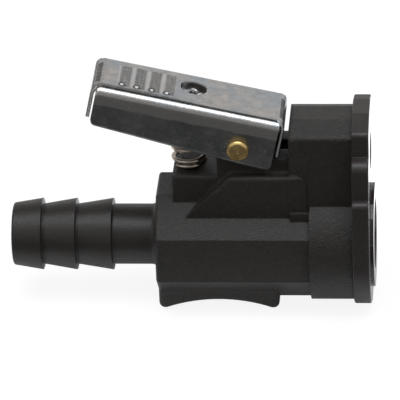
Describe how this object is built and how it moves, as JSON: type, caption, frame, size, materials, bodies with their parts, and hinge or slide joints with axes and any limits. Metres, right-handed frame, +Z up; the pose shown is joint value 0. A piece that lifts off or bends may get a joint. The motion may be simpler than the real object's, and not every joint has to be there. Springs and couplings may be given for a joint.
{
  "type": "quick disconnect coupling",
  "caption": "Moulded plastic hose coupling with a barbed tail, a sprung steel release lever on a brass pin, and a spring-closed valve behind a stepped front plate.",
  "frame": {"origin": "on the socket's axis, in the plane of the mating face", "axes": "+X out of the socket towards the male fitting, +Z up towards the release lever, -Y the near side"},
  "size_m": [0.0603, 0.023, 0.0418],
  "materials": {
    "moulded_black": "fine spark texture",
    "plate_black": "smooth satin",
    "stainless_sheet": "brushed",
    "brass": "drawn",
    "spring_steel": "drawn wire",
    "seal_rubber": "moulded rubber",
    "valve_plastic": "natural acetal"
  },
  "bodies": {
    "housing": {"body": "moulded_black", "front_plate": "plate_black", "pivot_pin": "brass", "lever_spring": "spring_steel", "socket_o_ring": "seal_rubber", "seat_o_ring": "seal_rubber", "valve_seat": "valve_plastic", "valve_spring": "spring_steel", "spring_guide": "valve_plastic"},
    "lever": {"release_lever": "stainless_sheet"},
    "poppet": {"valve_poppet": "valve_plastic", "poppet_seal": "seal_rubber"}
  },
  "joints": [
    {"name": "lever_press", "type": "hinge", "parent": "housing", "child": "lever", "pos_m": [-0.0215, 0, 0.0194], "axis": [0, -1, 0], "range_deg": [0, 15], "stiffness_Nm_per_rad": 0.06, "springref_deg": -20.05, "deforming": ["lever_spring"]},
    {"name": "valve_open", "type": "slide", "parent": "housing", "child": "poppet", "axis": [-1, 0, 0], "range_m": [0, 0.003], "stiffness_N_per_m": 1200, "springref_m": -0.002, "deforming": ["valve_spring"]}
  ]
}
